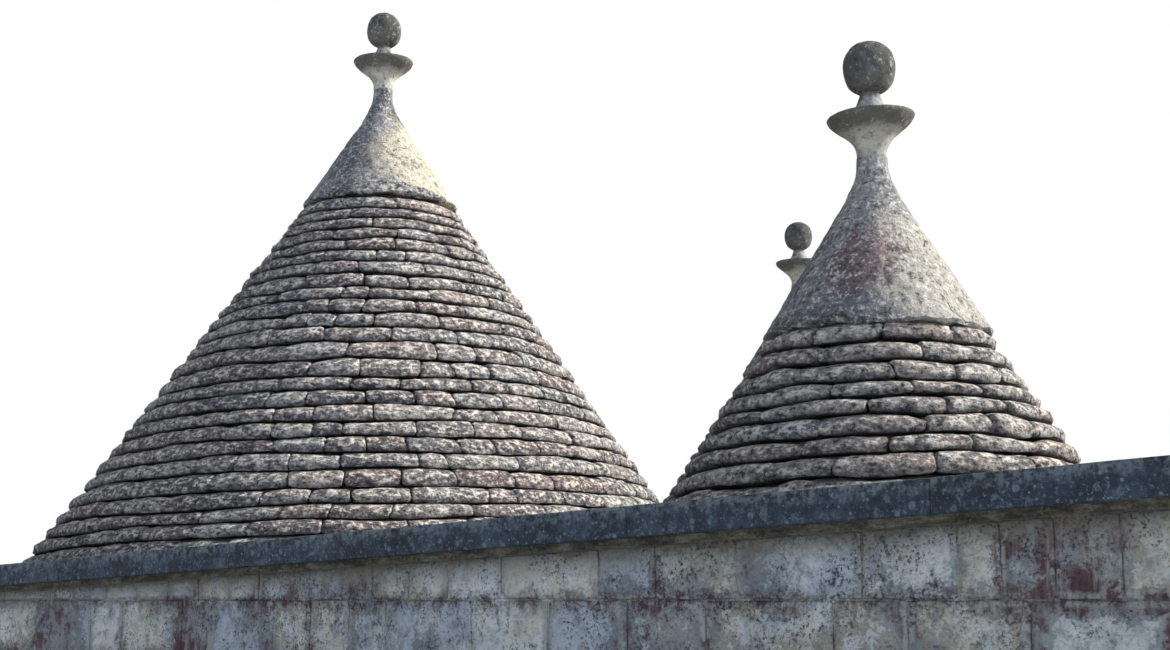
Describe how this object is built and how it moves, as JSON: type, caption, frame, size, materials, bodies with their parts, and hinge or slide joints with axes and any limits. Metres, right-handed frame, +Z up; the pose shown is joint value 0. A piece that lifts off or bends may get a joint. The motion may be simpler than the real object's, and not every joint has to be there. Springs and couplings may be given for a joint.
{
  "type": "trullo house",
  "caption": "Low stone house with thick walls, a gently sloping coping slab and conical dry-stone roofs that end in plastered caps and turned stone finials.",
  "frame": {"origin": "on the ground, at the middle of the plan's bounding box", "axes": "+Z up, +X to the right along the street front, +Y from the street front into the building"},
  "size_m": [8.8, 7.9, 5.6439],
  "materials": {
    "wall_stone": "worn limewash over rough stone",
    "coping_stone": "dark weathered stone",
    "lime_mortar": "rough",
    "cone_stone": "weathered, pitted, with lichen",
    "core_stone": "rough",
    "terrace_stone": "worn",
    "cap_plaster": "weathered lime plaster",
    "dish_plaster": "weathered lime plaster",
    "finial_stone": "weathered, with lichen"
  },
  "bodies": {
    "root": {"front_wall": "wall_stone", "wing_front_wall": "wall_stone", "left_wall": "wall_stone", "back_wall": "wall_stone", "rear_yard_wall": "wall_stone", "middle_wall_left": "wall_stone", "middle_wall_right": "wall_stone", "centre_pier": "wall_stone", "wing_right_wall": "wall_stone", "wing_back_wall": "wall_stone", "middle_arch": "wall_stone", "wing_arch": "wall_stone", "door_lintel": "wall_stone", "room_a_corner_slabs": "wall_stone", "room_c_corner_slabs": "wall_stone", "wing_ceiling": "wall_stone", "alcove_vault": "wall_stone", "coping_front": "coping_stone", "coping_right": "coping_stone", "coping_wing_back": "coping_stone", "coping_yard": "coping_stone", "coping_back": "coping_stone", "coping_left": "coping_stone", "coping_bed": "lime_mortar", "terrace_main": "terrace_stone", "terrace_rear": "terrace_stone", "terrace_wing": "terrace_stone", "cone_a_core": "core_stone", "cone_a_dome": "core_stone", "cone_a_mantle": "cone_stone", "cone_a_cap": "cap_plaster", "cone_a_dish": "dish_plaster", "cone_a_ball": "finial_stone", "cone_b_core": "core_stone", "cone_b_dome": "core_stone", "cone_b_mantle": "cone_stone", "cone_b_cap": "cap_plaster", "cone_b_dish": "dish_plaster", "cone_b_ball": "finial_stone", "cone_c_core": "core_stone", "cone_c_dome": "core_stone", "cone_c_mantle": "cone_stone", "cone_c_cap": "cap_plaster", "cone_c_dish": "dish_plaster", "cone_c_ball": "finial_stone"}
  },
  "joints": []
}
